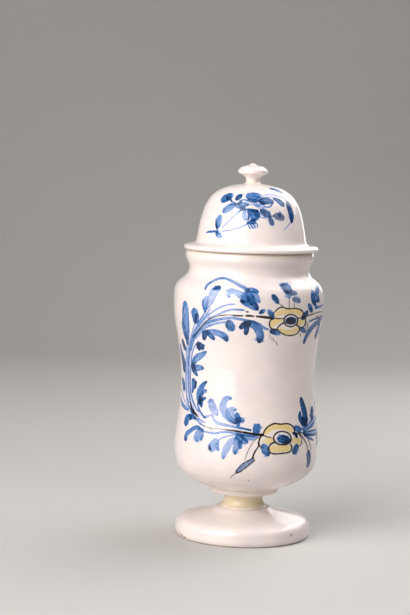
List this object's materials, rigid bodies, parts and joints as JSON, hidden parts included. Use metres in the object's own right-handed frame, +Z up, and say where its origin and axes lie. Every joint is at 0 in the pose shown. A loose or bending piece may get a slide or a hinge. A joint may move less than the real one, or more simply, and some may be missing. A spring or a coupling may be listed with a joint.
{
  "type": "lidded apothecary jar",
  "caption": "Waisted tin-glazed apothecary jar on a short stem and a spreading foot, closed by a domed lid that lifts off by its button knob.",
  "frame": {"origin": "centre of the ring that the foot stands on, at the lowest point", "axes": "+Z up along the jar's turning axis; the bare painted panel faces -Y, a little towards +X"},
  "size_m": [0.124, 0.124, 0.31],
  "materials": {
    "tin_glaze": "glossy opaque warm white tin glaze, painted in cobalt blue and yellow",
    "yellowed_glaze": "thin glaze gone cream yellow over the clay"
  },
  "bodies": {
    "jar": {"foot_disc": "tin_glaze", "stem": "yellowed_glaze", "base_collar": "tin_glaze", "jar_body": "tin_glaze"},
    "lid": {"lid_dome": "tin_glaze", "lid_bezel": "tin_glaze", "lid_knob": "tin_glaze"}
  },
  "joints": [
    {"name": "lid_lift", "type": "slide", "parent": "jar", "child": "lid", "axis": [0, 0, 1], "range_m": [0, 0.15]}
  ]
}
